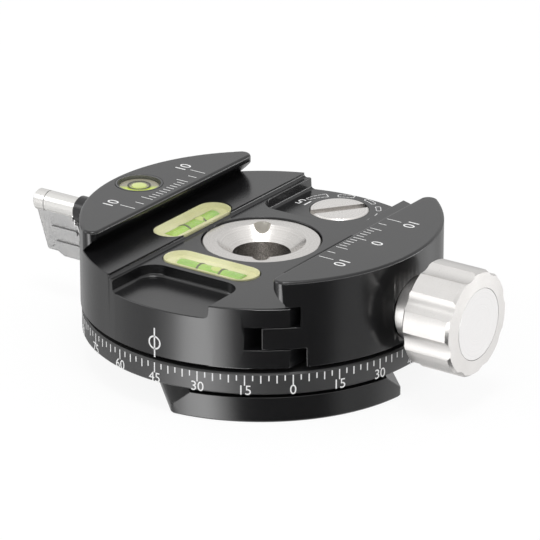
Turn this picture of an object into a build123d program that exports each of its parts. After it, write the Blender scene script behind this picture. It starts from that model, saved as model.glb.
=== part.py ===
from build123d import *
import os
from math import cos, radians, sin, sqrt

# Panning dovetail clamp for cameras: a dovetail base carries a degree ring and a steel
# spindle, and a round clamp body turns on them. The origin is the pan axis at the base's
# underside. +Z is up, the clamp channel runs along Y, and the jaw opens towards +X.

# Fits
running_clear = 0.05
slide_clear = 0.08
seat_clear = 0.05
pocket_clear = 0.1

# Dovetail base
dovetail_width = 38.0
dovetail_lip = 1.6
dovetail_flank = 2.8
base_inset = 0.2
base_groove_width = 3.5
base_groove_height = 0.5
base_corner = 1.0
base_edge = 0.3
base_yaw = -45.0
base_screw_long = 36.0
base_screw_wide = 22.0
base_screw_radius = 1.5
base_screw_head = 2.8
base_screw_sink = 0.2
base_screw_length = 7.4
base_screw_socket = 0.9
base_screw_socket_sides = 6
flank_angle = 45

# Degree ring
ring_inset = 0.2
ring_height = 3.8
ring_edge = 0.3
detent_inset = 7.1
detent_stops = 24
detent_groove_depth = 0.5
detent_dimple_depth = 0.25

# Pan spindle and centre bushing
spindle_radius = 8.0
spindle_flange_radius = 13.0
spindle_flange = 2.7
spigot_radius = 7.0
spigot_recess = 0.4
tripod_thread_radius = 4.76
tripod_thread_length = 9.6
bushing_radius = 10.0
bushing_flange = 2.65
bushing_skirt_radius = 6.9
bushing_bore = 4.85
bushing_relief_radius = 5.8
bushing_relief_height = 2.5
bushing_sink_radius = 7.4
bushing_sink_depth = 2.1
bushing_drop = 0.25
bushing_rim = 0.25
notch_radius = 1.42
notch_depth = 4.5
notch_angle = 124.0
hub_washer = 0.45
pan_bearing_inner = 12.0
pan_bearing_outer = 18.0

# Clamp body
body_radius = 30.2
body_height = 10.6
pan_gap = 0.7
pad_step = 0.75
jaw_height = 4.5
channel_gap = 35.0
jaw_lip = 1.15
jaw_rounding = 0.5
pad_edge = 10.6
riser_round = 0.55
rim_edge = 0.35
platform_edge = 0.25
tip_round = 1.6
tip_sweep = 110.0
tip_overrun = 5.0
lip_stock = 0.5
recess_half_width = 9.5
recess_depth = 2.1
recess_corner = 3.4
recess_floor_round = 0.6
front_recess_wall = 18.6
rear_recess_wall = 12.4

# Comb between body and jaw
body_split = 20.75
finger_floor = 12.8
finger_roof = 16.7
finger_inner = 17.2
finger_gap = 2.3
finger_overlap = 3.6
jaw_gap = 1.25
jaw_gap_lower = 1.85
tongue_half_width = 9.8
tongue_depth = 1.6
tongue_end = 12.4
tongue_gap = 1.1

# Clamp screw, guides and springs
screw_height = 14.9
screw_radius = 2.5
screw_tip = 13.0
screw_tip_edge = 0.5
screw_hole_end = 11.9
guide_spread = 27.0
guide_height = 14.75
guide_radius = 1.5
guide_inner_end = 11.2
guide_end_inset = 4.7
guide_hole_end = 9.9
spring_pocket_radius = 2.6
spring_pocket_depth = 4.0
spring_radius = 2.1
spring_wire = 0.25
spring_turns = 5

# Knob
knob_radius = 8.9
knob_length = 9.1
knob_flutes = 8
knob_flute_start = 13.75
flute_radius = 3.0
flute_depth = 0.7
knob_face_drop = 0.35
knob_bevel_radial = 0.35
knob_bevel_axial = 0.5
knob_back_edge = 0.3
knob_bore_depth = 7.0
knob_cap_radius = 6.0
knob_cap_thickness = 1.0
knob_washer_radius = 5.3
knob_washer_thickness = 3.85
spot_face_depth = 0.6

# Pan lock
lock_height = 17.0
lock_screw_radius = 1.5
lock_tip_inset = 4.7
lock_boss_radius = 2.35
lock_boss_sink = 1.6
lock_boss_reach = 7.8
lever_barrel_radius = 1.85
lever_barrel_length = 8.6
lever_groove_place = 2.2
lever_groove_depth = 0.15
lever_gap = 0.1
lever_thickness = 2.4
lever_drop = 9.0
lever_slant = 0.32
lever_toe_height = 0.7
lever_toe_length = 2.15
lever_toe_slope = 1.3
lever_toe_round = 0.6
lever_edge = 0.2
wing_reach = 2.7
wing_shoulder = 0.6
rib_count = 3
rib_length = 5.9
rib_width = 0.95
rib_height = 0.4
rib_pitch = 2.6
rib_lead = 0.9
rib_first_drop = 1.6
rib_first_place = 3.1
lever_screw_radius = 1.0
lever_screw_head = 1.3
lever_screw_head_height = 0.8
lever_screw_length = 3.4
lever_screw_slot = 0.4
brake_pin_radius = 2.0
brake_pin_inset = 4.6
brake_lift = 0.1
brake_wedge_gap = 0.3
brake_top_drop = 0.2

# Click dial and detent ball
dial_radius = 5.05
dial_thickness = 1.45
dial_proud = 0.15
dial_slot_width = 1.8
dial_slot_depth = 0.9
dial_slot_angle = 53.0
dial_edge = 0.2
dial_stem_radius = 1.5
dial_stem_length = 2.1
ball_radius = 1.5
detent_spring_radius = 1.1
detent_spring_wire = 0.18
detent_spring_turns = 5

# Levels
vial_length = 18.2
vial_width = 6.2
vial_depth = 5.0
vial_proud_along = 0.05
vial_proud_across = 0.3
vial_edge = 0.4
vial_tube_radius = 1.9
vial_tube_length = 13.0
vial_tube_drop = 2.4
along_x = -13.7
along_y = -0.6
across_y = -14.3
bullseye_inset = 5.0
bullseye_radius = 4.0
bullseye_depth = 3.2
bullseye_wall = 0.3
bullseye_floor = 0.6
bullseye_dome = 0.25

# Heights and places worked out from the sizes above
ring_radius = body_radius - ring_inset
base_end_radius = ring_radius - base_inset
base_groove_radius = ring_radius - base_groove_width
detent_radius = body_radius - detent_inset
guide_outer_end = body_radius - guide_end_inset
lock_tip = lock_tip_inset - body_radius
lock_boss_seat = lock_boss_sink - body_radius
lock_boss_end = -body_radius - lock_boss_reach
brake_pin_x = brake_pin_inset - body_radius
bullseye_x = bullseye_inset - body_radius
base_top = dovetail_lip + dovetail_flank
ring_floor = base_top + base_groove_height
ring_top = ring_floor + ring_height
body_floor = ring_top + pan_gap
platform = body_floor + body_height
pad_top = platform + pad_step
jaw_top = platform + jaw_height
recess_floor = platform - recess_depth
tongue_pocket_floor = platform - tongue_depth
bushing_top = platform - bushing_drop
bushing_seat = bushing_top - bushing_flange
hub_seat = bushing_seat - hub_washer - seat_clear
spindle_floor = ring_floor - spindle_flange
thread_top = spigot_recess + tripod_thread_length
channel_half = channel_gap / 2
lip_bottom = jaw_top - jaw_lip
root_half = channel_half + lip_bottom - pad_top
jaw_face = body_split + jaw_gap
jaw_face_lower = body_split + jaw_gap_lower
finger_end = body_split - finger_overlap
finger_slot_end = finger_end - finger_gap
tongue_pocket_end = tongue_end - tongue_gap
wall_seat = body_radius - spot_face_depth
knob_back = wall_seat + seat_clear + knob_washer_thickness
knob_face = knob_back + knob_length
dial_top = recess_floor + dial_proud
dial_seat = dial_top - dial_thickness
ball_height = ring_top - detent_groove_depth + seat_clear + ball_radius
far = 4 * body_radius

os.makedirs("parts", exist_ok=True)


def save(name, label):
    name.part.label = label
    export_step(name.part, "parts/" + label + ".step")


def facing_x(x, y=0.0, z=0.0):
    """A plane square to X: its own x is +Y and its own y is +Z."""
    return Plane(origin=(x, y, z), x_dir=(0, 1, 0), z_dir=(1, 0, 0))


def facing_y(y=0.0):
    """A plane square to Y: its own x is +X and its own y is +Z."""
    return Plane(origin=(0, y, 0), x_dir=(1, 0, 0), z_dir=(0, -1, 0))


# Dovetail base: a dovetail bar with round ends, cut low round the ring's seat
base_half = dovetail_width / 2
neck_half = base_half - dovetail_flank
yaw_cos = cos(radians(base_yaw))
yaw_sin = sin(radians(base_yaw))
base_plane = Plane(origin=(0, 0, 0), x_dir=(yaw_cos, yaw_sin, 0), z_dir=(0, 0, 1))
base_section = Plane(origin=(0, 0, 0), x_dir=(-yaw_sin, yaw_cos, 0), z_dir=(yaw_cos, yaw_sin, 0))
screw_sink = base_screw_head - base_screw_radius
with BuildPart() as dovetail_base:
    with BuildSketch(base_section):
        with BuildLine():
            Polyline(
                (-base_half, 0),
                (base_half, 0),
                (base_half, dovetail_lip),
                (neck_half, base_top),
                (neck_half, ring_floor),
                (-neck_half, ring_floor),
                (-neck_half, base_top),
                (-base_half, dovetail_lip),
                close=True,
            )
        make_face()
    extrude(amount=ring_radius, both=True)
    with BuildSketch(Plane.XY):
        Circle(base_end_radius)
    extrude(amount=ring_floor, mode=Mode.INTERSECT)
    fillet(dovetail_base.edges().filter_by(Axis.Z).filter_by_position(Axis.Z, 0, dovetail_lip), base_corner)
    with BuildSketch(Plane.XY.offset(base_top)):
        Circle(ring_radius)
        Circle(base_groove_radius, mode=Mode.SUBTRACT)
    extrude(amount=base_groove_height, mode=Mode.SUBTRACT)
    chamfer(dovetail_base.faces().sort_by(Axis.Z)[0].edges(), base_edge)
    with BuildSketch(Plane.XY.offset(spindle_floor - seat_clear)):
        Circle(spindle_flange_radius + running_clear)
    extrude(amount=ring_floor, mode=Mode.SUBTRACT)
    with BuildSketch(Plane.XY):
        Circle(spigot_radius + running_clear)
    extrude(amount=ring_floor, mode=Mode.SUBTRACT)
    with BuildSketch(base_plane):
        with GridLocations(base_screw_long, base_screw_wide, 2, 2):
            Circle(base_screw_radius + pocket_clear)
    extrude(amount=ring_floor, mode=Mode.SUBTRACT)
    with BuildSketch(base_plane):
        with GridLocations(base_screw_long, base_screw_wide, 2, 2):
            Circle(base_screw_head + pocket_clear)
    extrude(amount=base_screw_sink, mode=Mode.SUBTRACT)
    with BuildSketch(base_plane.offset(base_screw_sink)):
        with GridLocations(base_screw_long, base_screw_wide, 2, 2):
            Circle(base_screw_head + pocket_clear)
    extrude(amount=screw_sink, taper=flank_angle, mode=Mode.SUBTRACT)
save(dovetail_base, "dovetail_base")

# Base screws: four countersunk screws up through the base into the ring
with BuildPart() as base_screws:
    with BuildSketch(base_plane.offset(base_screw_sink)):
        with GridLocations(base_screw_long, base_screw_wide, 2, 2):
            Circle(base_screw_head)
    extrude(amount=screw_sink, taper=flank_angle)
    with BuildSketch(base_plane.offset(base_screw_sink)):
        with GridLocations(base_screw_long, base_screw_wide, 2, 2):
            Circle(base_screw_radius)
    extrude(amount=base_screw_length)
    with BuildSketch(base_plane.offset(base_screw_sink)):
        with GridLocations(base_screw_long, base_screw_wide, 2, 2):
            RegularPolygon(base_screw_socket, base_screw_socket_sides)
    extrude(amount=screw_sink, mode=Mode.SUBTRACT)
save(base_screws, "base_screws")

# Degree ring: a flat disc with a groove and dimples that the detent ball runs over
groove_tube = ball_radius + pocket_clear
groove_centre = ring_top - detent_groove_depth + groove_tube
with BuildPart() as degree_ring:
    with BuildSketch(Plane.XY.offset(ring_floor)):
        Circle(ring_radius)
        Circle(spindle_radius + running_clear, mode=Mode.SUBTRACT)
    extrude(amount=ring_height)
    chamfer(
        degree_ring.edges().filter_by(GeomType.CIRCLE).group_by(SortBy.RADIUS)[-1],
        ring_edge,
    )
    with BuildSketch(facing_y()):
        with Locations((detent_radius, groove_centre)):
            Circle(groove_tube)
    revolve(axis=Axis.Z, mode=Mode.SUBTRACT)
    with Locations((0, 0, groove_centre - detent_dimple_depth)):
        with PolarLocations(detent_radius, detent_stops):
            Sphere(groove_tube, mode=Mode.SUBTRACT)
    with BuildSketch(base_plane.offset(ring_floor)):
        with GridLocations(base_screw_long, base_screw_wide, 2, 2):
            Circle(base_screw_radius + running_clear)
    extrude(amount=base_screw_sink + base_screw_length + pocket_clear - ring_floor, mode=Mode.SUBTRACT)
save(degree_ring, "degree_ring")

# Pan spindle: a flange held under the ring, a tripod thread below and a socket above
with BuildPart() as pan_spindle:
    with BuildSketch(facing_y()):
        with BuildLine():
            Polyline(
                (tripod_thread_radius, spigot_recess),
                (spigot_radius, spigot_recess),
                (spigot_radius, spindle_floor),
                (spindle_flange_radius, spindle_floor),
                (spindle_flange_radius, ring_floor - seat_clear),
                (spindle_radius, ring_floor - seat_clear),
                (spindle_radius, bushing_seat),
                (bushing_skirt_radius + running_clear, bushing_seat),
                (bushing_skirt_radius + running_clear, thread_top),
                (tripod_thread_radius, thread_top),
                close=True,
            )
        make_face()
    revolve(axis=Axis.Z)
save(pan_spindle, "pan_spindle")

# Centre bushing: the countersunk top nut with two half-round spanner notches
with BuildPart() as centre_bushing:
    with BuildSketch(facing_y()):
        with BuildLine():
            Polyline(
                (bushing_bore, thread_top + bushing_relief_height),
                (bushing_relief_radius, thread_top + bushing_relief_height),
                (bushing_relief_radius, thread_top + seat_clear),
                (bushing_skirt_radius, thread_top + seat_clear),
                (bushing_skirt_radius, bushing_seat),
                (bushing_radius, bushing_seat),
                (bushing_radius, bushing_top - bushing_rim),
                (bushing_radius - bushing_rim, bushing_top),
                (bushing_sink_radius, bushing_top),
                (bushing_bore, bushing_top - bushing_sink_depth),
                close=True,
            )
        make_face()
    revolve(axis=Axis.Z)
    with BuildSketch(Plane.XY.offset(bushing_top)):
        with PolarLocations(bushing_sink_radius, 2, start_angle=notch_angle):
            Circle(notch_radius)
    extrude(amount=-notch_depth, mode=Mode.SUBTRACT)
save(centre_bushing, "centre_bushing")

# Hub washer: the slip ring between the bushing's flange and the body's web
with BuildPart() as hub_slip_washer:
    with BuildSketch(Plane.XY.offset(bushing_seat - hub_washer)):
        Circle(bushing_radius - pocket_clear)
        Circle(spindle_radius + pocket_clear, mode=Mode.SUBTRACT)
    extrude(amount=hub_washer)
save(hub_slip_washer, "hub_slip_washer")

# Pan bearing: the slip ring that the clamp body rides on
with BuildPart() as pan_bearing:
    with BuildSketch(Plane.XY.offset(ring_top)):
        Circle(pan_bearing_outer)
        Circle(pan_bearing_inner, mode=Mode.SUBTRACT)
    extrude(amount=pan_gap - seat_clear)
save(pan_bearing, "pan_bearing")

# Plan of a jaw's lip face, with rounded tips that run out through the round wall
tip_x = channel_half + tip_round
tip_y = sqrt((body_radius - tip_round) ** 2 - tip_x**2)
sweep_cos = cos(radians(tip_sweep))
sweep_sin = sin(radians(tip_sweep))
tip_end_x = tip_x - tip_round * sweep_cos
tip_end_y = tip_y + tip_round * sweep_sin
tip_out_x = tip_end_x + tip_overrun * sweep_sin
tip_out_y = tip_end_y + tip_overrun * sweep_cos


def lip_plan(side):
    """The region beside a lip face; side is 1 for the jaw at +X and -1 for the one at -X."""
    Polyline(
        (side * tip_end_x, -tip_end_y),
        (side * tip_out_x, -tip_out_y),
        (side * tip_out_x, -far),
        (-side * far, -far),
        (-side * far, far),
        (side * tip_out_x, far),
        (side * tip_out_x, tip_out_y),
        (side * tip_end_x, tip_end_y),
    )
    RadiusArc((side * tip_end_x, tip_end_y), (side * channel_half, tip_y), -side * tip_round)
    Line((side * channel_half, tip_y), (side * channel_half, -tip_y))
    RadiusArc((side * channel_half, -tip_y), (side * tip_end_x, -tip_end_y), -side * tip_round)


# Clamp body: the turned body with the fixed jaw, the channel, the recesses and the comb
finger_height = finger_roof - finger_floor
guide_y = guide_spread / 2
tongue_floor = tongue_pocket_floor + pocket_clear
along_top = pad_top + vial_proud_along
across_top = platform + vial_proud_across
dial_hole = dial_stem_radius + running_clear
brake_roof = lock_height + pocket_clear
with BuildPart() as clamp_body:
    with BuildSketch(Plane.XY.offset(body_floor)):
        Circle(body_radius)
    extrude(amount=jaw_top - body_floor)
    chamfer(clamp_body.edges().group_by(Axis.Z)[0], rim_edge)
    with BuildSketch(facing_y()):
        with BuildLine():
            Polyline(
                (-pad_edge + riser_round, platform),
                (far, platform),
                (far, far),
                (lip_stock - channel_half, far),
                (lip_stock - channel_half, lip_bottom + lip_stock),
                (-root_half, pad_top),
                (-pad_edge, pad_top),
                (-pad_edge, platform + riser_round),
            )
            RadiusArc(
                (-pad_edge, platform + riser_round),
                (-pad_edge + riser_round, platform),
                -riser_round,
            )
        make_face()
    extrude(amount=far, both=True, mode=Mode.SUBTRACT)
    with BuildSketch(Plane.XY.offset(pad_top)):
        with BuildLine():
            lip_plan(-1)
        make_face()
    extrude(amount=far, mode=Mode.SUBTRACT)
    # Right side: the stepped comb that the sliding jaw slides into
    with BuildSketch(Plane.XY.offset(body_floor)):
        with Locations((body_split + far / 2, 0)):
            Rectangle(far, far)
    extrude(amount=far, mode=Mode.SUBTRACT)
    with BuildSketch(Plane.XY.offset(finger_floor)):
        with Locations((finger_slot_end + far / 2, finger_inner + far / 2)):
            Rectangle(far, far)
        with Locations((finger_slot_end + far / 2, -finger_inner - far / 2)):
            Rectangle(far, far)
    extrude(amount=finger_height, mode=Mode.SUBTRACT)
    # Finger scoops at the front and the rear of the platform
    with BuildSketch(Plane.XY.offset(recess_floor)):
        with Locations((0, -front_recess_wall - far / 2)):
            RectangleRounded(2 * recess_half_width, far, recess_corner)
        with Locations((0, rear_recess_wall + far / 2)):
            RectangleRounded(2 * recess_half_width, far, recess_corner)
    extrude(amount=recess_depth, mode=Mode.SUBTRACT)
    inside_wall = body_radius - recess_floor_round
    recess_edges = (
        clamp_body.faces()
        .filter_by(Axis.Z)
        .filter_by_position(Axis.Z, recess_floor - seat_clear, recess_floor + seat_clear)
        .edges()
        .filter_by(lambda edge: edge.center().X ** 2 + edge.center().Y ** 2 < inside_wall**2)
    )
    fillet(recess_edges, recess_floor_round)
    # Rounded top edges of the fixed jaw and broken rims of the platform
    fillet(clamp_body.faces().sort_by(Axis.Z)[-1].edges(), jaw_rounding)
    platform_rims = (
        clamp_body.edges()
        .filter_by(GeomType.CIRCLE)
        .filter_by_position(Axis.Z, platform - seat_clear, platform + seat_clear)
        .filter_by(lambda edge: abs(edge.radius - body_radius) < seat_clear)
    )
    chamfer(platform_rims, platform_edge)
    # Bore for the spindle, with a counterbore for the slip washer and the bushing
    with BuildSketch(Plane.XY.offset(body_floor)):
        Circle(spindle_radius + running_clear)
    extrude(amount=far, mode=Mode.SUBTRACT)
    with BuildSketch(Plane.XY.offset(hub_seat)):
        Circle(bushing_radius + pocket_clear)
    extrude(amount=far, mode=Mode.SUBTRACT)
    # Pockets for the two tube levels and the round level
    with BuildSketch(Plane.XY.offset(along_top - vial_depth - seat_clear)):
        with Locations((along_x, along_y)):
            SlotOverall(vial_length + 2 * pocket_clear, vial_width + 2 * pocket_clear, rotation=90)
    extrude(amount=vial_depth + pocket_clear, mode=Mode.SUBTRACT)
    with BuildSketch(Plane.XY.offset(across_top - vial_depth - seat_clear)):
        with Locations((0, across_y)):
            SlotOverall(vial_length + 2 * pocket_clear, vial_width + 2 * pocket_clear)
    extrude(amount=vial_depth + pocket_clear, mode=Mode.SUBTRACT)
    with BuildSketch(Plane.XY.offset(jaw_top - bullseye_depth - seat_clear)):
        with Locations((bullseye_x, 0)):
            Circle(bullseye_radius + running_clear)
    extrude(amount=far, mode=Mode.SUBTRACT)
    # Pan lock: a bore from the left wall, a seat for the boss and the brake pin's bore
    with BuildSketch(facing_x(lock_tip, 0, lock_height)):
        Circle(lock_screw_radius + running_clear)
    extrude(amount=-far, mode=Mode.SUBTRACT)
    with BuildSketch(facing_x(lock_boss_seat, 0, lock_height)):
        Circle(lock_boss_radius + running_clear)
    extrude(amount=-far, mode=Mode.SUBTRACT)
    with BuildSketch(Plane.XY.offset(body_floor)):
        with Locations((brake_pin_x, 0)):
            Circle(brake_pin_radius + running_clear)
    extrude(amount=brake_roof - body_floor, mode=Mode.SUBTRACT)
    # Click dial: a shallow seat in the rear scoop over the detent's bore
    with BuildSketch(Plane.XY.offset(dial_seat - seat_clear)):
        with Locations((0, detent_radius)):
            Circle(dial_radius + running_clear)
    extrude(amount=far, mode=Mode.SUBTRACT)
    with BuildSketch(Plane.XY.offset(body_floor)):
        with Locations((0, detent_radius)):
            Circle(dial_hole)
    extrude(amount=far, mode=Mode.SUBTRACT)
    # Jaw drive: the tongue's pocket, the tapped hole, the guide bores and the spring pockets
    with BuildSketch(Plane.XY.offset(tongue_pocket_floor)):
        with Locations(((tongue_pocket_end + far) / 2, 0)):
            Rectangle(far - tongue_pocket_end, 2 * (tongue_half_width + pocket_clear))
    extrude(amount=tongue_depth, mode=Mode.SUBTRACT)
    with BuildSketch(facing_x(screw_hole_end, 0, screw_height)):
        Circle(screw_radius + running_clear)
    extrude(amount=far, mode=Mode.SUBTRACT)
    with BuildSketch(facing_x(guide_hole_end, 0, guide_height)):
        with Locations((guide_y, 0), (-guide_y, 0)):
            Circle(guide_radius + running_clear)
    extrude(amount=far, mode=Mode.SUBTRACT)
    with BuildSketch(facing_x(body_split - spring_pocket_depth, 0, guide_height)):
        with Locations((guide_y, 0), (-guide_y, 0)):
            Circle(spring_pocket_radius)
    extrude(amount=far, mode=Mode.SUBTRACT)
save(clamp_body, "clamp_body")

# Sliding jaw: the round segment with fingers and a tongue that run in the body's comb
finger_low = finger_floor + slide_clear
finger_high = finger_roof - slide_clear
jaw_floor = platform + slide_clear
with BuildPart() as sliding_jaw:
    with BuildSketch(Plane.XY.offset(body_floor)):
        Circle(body_radius)
    extrude(amount=jaw_top - body_floor)
    chamfer(sliding_jaw.edges().group_by(Axis.Z)[0], rim_edge)
    with BuildSketch(facing_y()):
        with BuildLine():
            Polyline(
                (jaw_face_lower, body_floor - far),
                (jaw_face_lower, finger_low),
                (finger_end, finger_low),
                (finger_end, finger_high),
                (jaw_face, finger_high),
                (jaw_face, jaw_floor),
                (root_half, jaw_floor),
                (root_half, pad_top),
                (channel_half - lip_stock, lip_bottom + lip_stock),
                (channel_half - lip_stock, far),
                (-far, far),
                (-far, body_floor - far),
                close=True,
            )
        make_face()
    extrude(amount=far, both=True, mode=Mode.SUBTRACT)
    with BuildSketch(Plane.XY.offset(pad_top)):
        with BuildLine():
            lip_plan(1)
        make_face()
    extrude(amount=far, mode=Mode.SUBTRACT)
    with BuildSketch(Plane.XY.offset(finger_low)):
        with Locations((jaw_face - far / 2, 0)):
            Rectangle(far, 2 * (finger_inner + slide_clear))
    extrude(amount=finger_high - finger_low, mode=Mode.SUBTRACT)
    fillet(sliding_jaw.faces().sort_by(Axis.Z)[-1].edges(), jaw_rounding)
    with BuildSketch(Plane.XY.offset(tongue_floor)):
        with Locations(((tongue_end + jaw_face_lower) / 2, 0)):
            Rectangle(jaw_face_lower - tongue_end, 2 * tongue_half_width)
    extrude(amount=platform - pocket_clear - tongue_floor)
    with BuildSketch(facing_x(0, 0, screw_height)):
        Circle(screw_radius + 2 * pocket_clear)
    extrude(amount=far, mode=Mode.SUBTRACT)
    with BuildSketch(facing_x(wall_seat, 0, screw_height)):
        Circle(knob_washer_radius + pocket_clear)
    extrude(amount=far, mode=Mode.SUBTRACT)
    with BuildSketch(facing_x(0, 0, guide_height)):
        with Locations((guide_y, 0), (-guide_y, 0)):
            Circle(guide_radius)
    extrude(amount=guide_outer_end, mode=Mode.SUBTRACT)
save(sliding_jaw, "sliding_jaw")

# Guide pins: two dowels fixed in the jaw that slide in the body
with BuildPart() as jaw_guide_pins:
    with BuildSketch(facing_x(guide_inner_end, 0, guide_height)):
        with Locations((guide_y, 0), (-guide_y, 0)):
            Circle(guide_radius)
    extrude(amount=guide_outer_end - guide_inner_end)
    chamfer(jaw_guide_pins.faces().group_by(Axis.X)[0].edges(), rim_edge)
save(jaw_guide_pins, "jaw_guide_pins")

# Jaw springs: one coil round each guide pin pushes the jaw open
spring_start = body_split - spring_pocket_depth + spring_wire
spring_length = jaw_face - spring_wire - spring_start
with BuildPart() as jaw_springs:
    for side in (guide_y, -guide_y):
        coil_centre = (spring_start, side, guide_height)
        with BuildLine():
            coil = Helix(
                pitch=spring_length / spring_turns,
                height=spring_length,
                radius=spring_radius,
                center=coil_centre,
                direction=(1, 0, 0),
            )
        with BuildSketch(Plane(origin=coil @ 0, z_dir=coil % 0)):
            Circle(spring_wire)
        sweep(path=coil)
save(jaw_springs, "jaw_springs")

# Clamp screw: runs from the knob through the jaw into the body's tapped hole
with BuildPart() as clamp_screw:
    with BuildSketch(facing_x(screw_tip, 0, screw_height)):
        Circle(screw_radius)
    extrude(amount=knob_back + knob_bore_depth - screw_tip)
    chamfer(clamp_screw.faces().sort_by(Axis.X)[0].edges(), screw_tip_edge)
save(clamp_screw, "clamp_screw")

# Knob washer: the bright collar between the knob and the jaw's spot face
with BuildPart() as knob_washer:
    with BuildSketch(facing_x(wall_seat + seat_clear, 0, screw_height)):
        Circle(knob_washer_radius)
        Circle(screw_radius + running_clear, mode=Mode.SUBTRACT)
    extrude(amount=knob_washer_thickness)
    chamfer(
        knob_washer.edges().filter_by(GeomType.CIRCLE).group_by(SortBy.RADIUS)[-1],
        knob_back_edge,
    )
save(knob_washer, "knob_washer")

# Knob: eight round flutes, a bevelled face and a seat for its cap
flute_place = knob_radius - flute_depth + flute_radius
cap_seat = knob_face - knob_cap_thickness - seat_clear
cap_seat_radius = knob_cap_radius + running_clear
with BuildPart() as knob:
    with BuildSketch(facing_y()):
        with BuildLine():
            Polyline(
                (knob_back, screw_height),
                (knob_back, screw_height + knob_radius - knob_back_edge),
                (knob_back + knob_back_edge, screw_height + knob_radius),
                (knob_face - knob_face_drop - knob_bevel_axial, screw_height + knob_radius),
                (knob_face - knob_face_drop, screw_height + knob_radius - knob_bevel_radial),
                (knob_face, screw_height + cap_seat_radius),
                (cap_seat, screw_height + cap_seat_radius),
                (cap_seat, screw_height),
                close=True,
            )
        make_face()
    revolve(axis=Axis((0, 0, screw_height), (1, 0, 0)))
    with BuildSketch(facing_x(knob_back, 0, screw_height)):
        with PolarLocations(flute_place, knob_flutes, start_angle=knob_flute_start):
            Circle(flute_radius)
    extrude(amount=knob_length, mode=Mode.SUBTRACT)
    with BuildSketch(facing_x(knob_back, 0, screw_height)):
        Circle(screw_radius + running_clear)
    extrude(amount=knob_bore_depth + seat_clear, mode=Mode.SUBTRACT)
save(knob, "knob")

# Knob cap: the bright disc set flush in the knob's face
with BuildPart() as knob_cap:
    with BuildSketch(facing_x(knob_face - knob_cap_thickness, 0, screw_height)):
        Circle(knob_cap_radius)
    extrude(amount=knob_cap_thickness)
    chamfer(knob_cap.faces().sort_by(Axis.X)[-1].edges(), seat_clear)
save(knob_cap, "knob_cap")

# Lock boss: the black sleeve between the body and the lever
with BuildPart() as lock_boss:
    with BuildSketch(facing_x(lock_boss_end, 0, lock_height)):
        Circle(lock_boss_radius)
        Circle(lock_screw_radius + running_clear, mode=Mode.SUBTRACT)
    extrude(amount=lock_boss_seat - seat_clear - lock_boss_end)
    chamfer(
        lock_boss.edges().filter_by(GeomType.CIRCLE).group_by(SortBy.RADIUS)[-1].sort_by(Axis.X)[0],
        rim_edge,
    )
save(lock_boss, "lock_boss")

# Lock lever: a barrel on the lock screw with a slanted wing and three finger ribs
lever_inner = lock_boss_end - lever_gap
lever_outer = lever_inner - lever_barrel_length
wing_bottom = lock_height - lever_drop
toe_x = lever_outer + lever_slant * (lever_drop - lever_toe_height)
shoulder_z = lock_height - lock_boss_radius - brake_wedge_gap
groove_x = lever_outer + lever_groove_place
lever_screw_seat = lever_outer + lever_screw_head_height
lock_screw_end = lever_screw_seat + lever_screw_head_height
with BuildPart() as lock_lever:
    with BuildSketch(facing_y()):
        with BuildLine():
            Polyline(
                (lever_outer, lock_height),
                (toe_x, wing_bottom + lever_toe_height),
                (toe_x + lever_toe_length, wing_bottom + lever_toe_height),
                (toe_x + lever_toe_length + lever_toe_slope, wing_bottom),
                (lever_inner + wing_reach, wing_bottom),
                (lever_inner + wing_shoulder, shoulder_z),
                (lever_inner, shoulder_z),
                (lever_inner, lock_height),
                close=True,
            )
        wing = make_face()
        fillet(wing.vertices().group_by(Axis.Y)[0] + wing.vertices().group_by(Axis.Y)[1], lever_toe_round)
    extrude(amount=lever_thickness / 2, both=True)
    fillet(lock_lever.faces().sort_by(Axis.Y)[0].edges(), lever_edge)
    fillet(lock_lever.faces().sort_by(Axis.Y)[-1].edges(), lever_edge)
    with BuildSketch(facing_y()):
        with BuildLine():
            Polyline(
                (lever_outer, lock_height),
                (lever_outer, lock_height + lever_barrel_radius - lever_edge),
                (lever_outer + lever_edge, lock_height + lever_barrel_radius),
                (groove_x, lock_height + lever_barrel_radius),
                (groove_x, lock_height + lever_barrel_radius - lever_groove_depth),
                (groove_x + lever_groove_depth, lock_height + lever_barrel_radius - lever_groove_depth),
                (groove_x + lever_groove_depth, lock_height + lever_barrel_radius),
                (lever_inner, lock_height + lever_barrel_radius),
                (lever_inner, lock_height),
                close=True,
            )
        make_face()
    revolve(axis=Axis((0, 0, lock_height), (1, 0, 0)))
    with BuildSketch(facing_y(-lever_thickness / 2)):
        for rib in range(rib_count):
            rib_x = lever_inner - rib_first_place + rib * rib_lead
            rib_z = lock_height - rib_first_drop - rib * rib_pitch
            with Locations((rib_x, rib_z)):
                SlotOverall(rib_length, rib_width)
    extrude(amount=rib_height)
    with BuildSketch(facing_x(lock_screw_end, 0, lock_height)):
        Circle(lock_screw_radius + running_clear)
    extrude(amount=lever_barrel_length, mode=Mode.SUBTRACT)
    with BuildSketch(facing_x(lever_outer, 0, lock_height)):
        Circle(lever_screw_radius + running_clear)
    extrude(amount=lever_barrel_length, mode=Mode.SUBTRACT)
    with BuildSketch(facing_x(lever_outer, 0, lock_height)):
        Circle(lever_screw_head + running_clear)
    extrude(amount=lever_screw_head_height, mode=Mode.SUBTRACT)
save(lock_lever, "lock_lever")

# Lever screw: the small slotted screw that ties the lever to the lock screw
with BuildPart() as lever_screw:
    with BuildSketch(facing_x(lever_outer, 0, lock_height)):
        Circle(lever_screw_head)
    extrude(amount=lever_screw_head_height - seat_clear)
    with BuildSketch(facing_x(lever_outer, 0, lock_height)):
        Circle(lever_screw_radius)
    extrude(amount=lever_screw_length)
    with BuildSketch(facing_x(lever_outer, 0, lock_height)):
        Rectangle(2 * lever_screw_head, lever_screw_slot)
    extrude(amount=lever_screw_slot, mode=Mode.SUBTRACT)
save(lever_screw, "lever_screw")

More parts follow.
